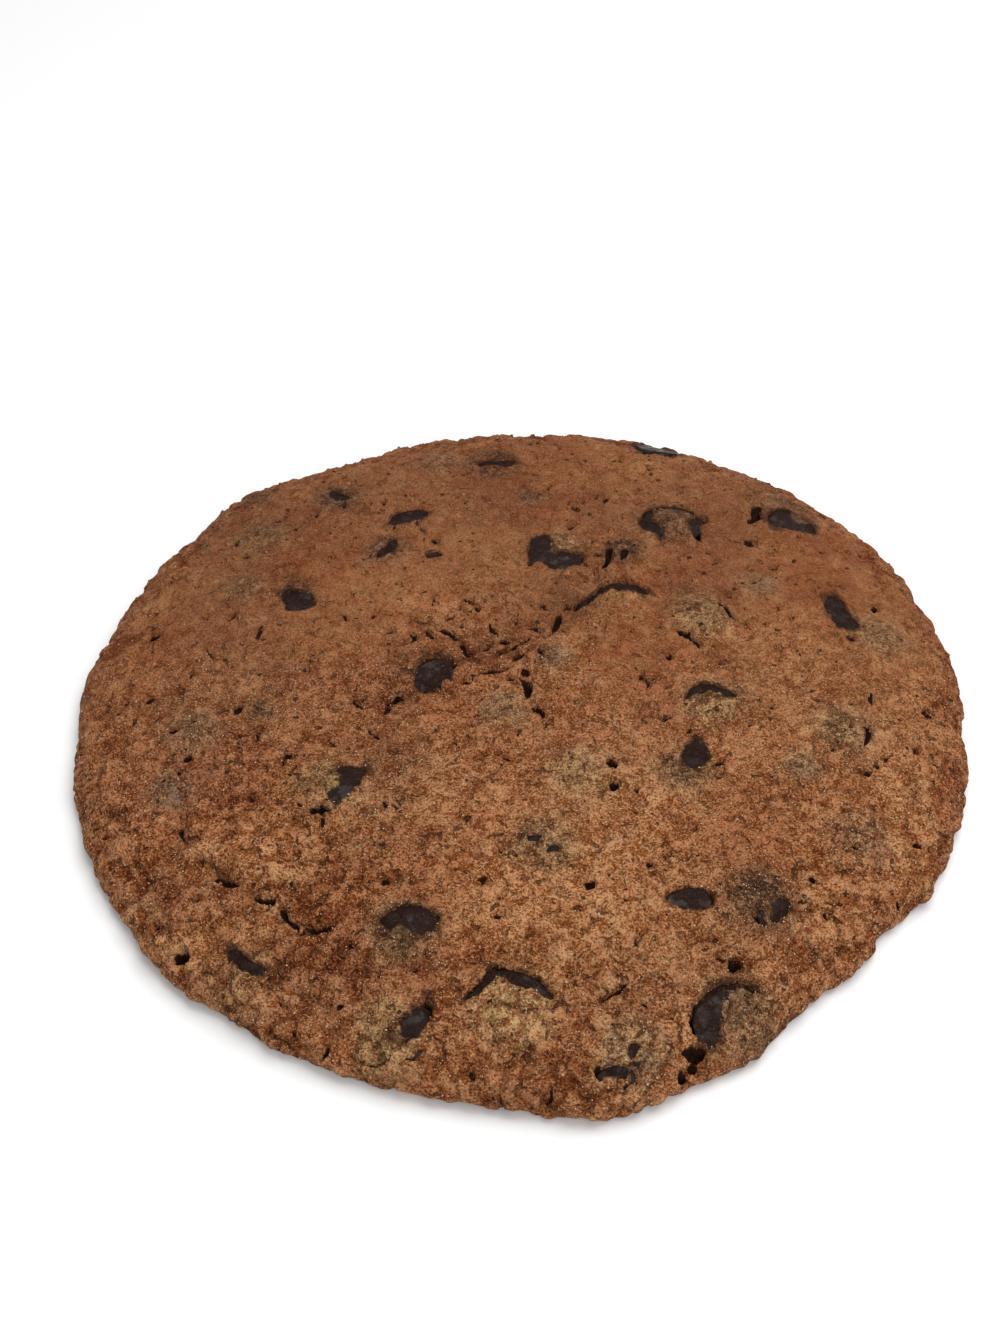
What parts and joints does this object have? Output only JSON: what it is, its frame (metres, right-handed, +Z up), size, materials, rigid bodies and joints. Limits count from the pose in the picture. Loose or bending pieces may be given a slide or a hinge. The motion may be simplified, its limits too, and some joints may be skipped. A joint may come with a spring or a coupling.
{
  "type": "chocolate chip cookie",
  "caption": "Round flat baked cookie of caramel-brown dough with dark chocolate chips showing through a cracked, grainy crust.",
  "frame": {"origin": "middle of the bounding box on the flat underside", "axes": "+Z up through the thickness, +X to the right and +Y away from the viewer as the picture shows the cookie"},
  "size_m": [0.1112, 0.1122, 0.0108],
  "materials": {
    "baked_dough": "matte",
    "chocolate": "satin"
  },
  "bodies": {
    "root": {"cookie": "baked_dough"}
  },
  "joints": []
}
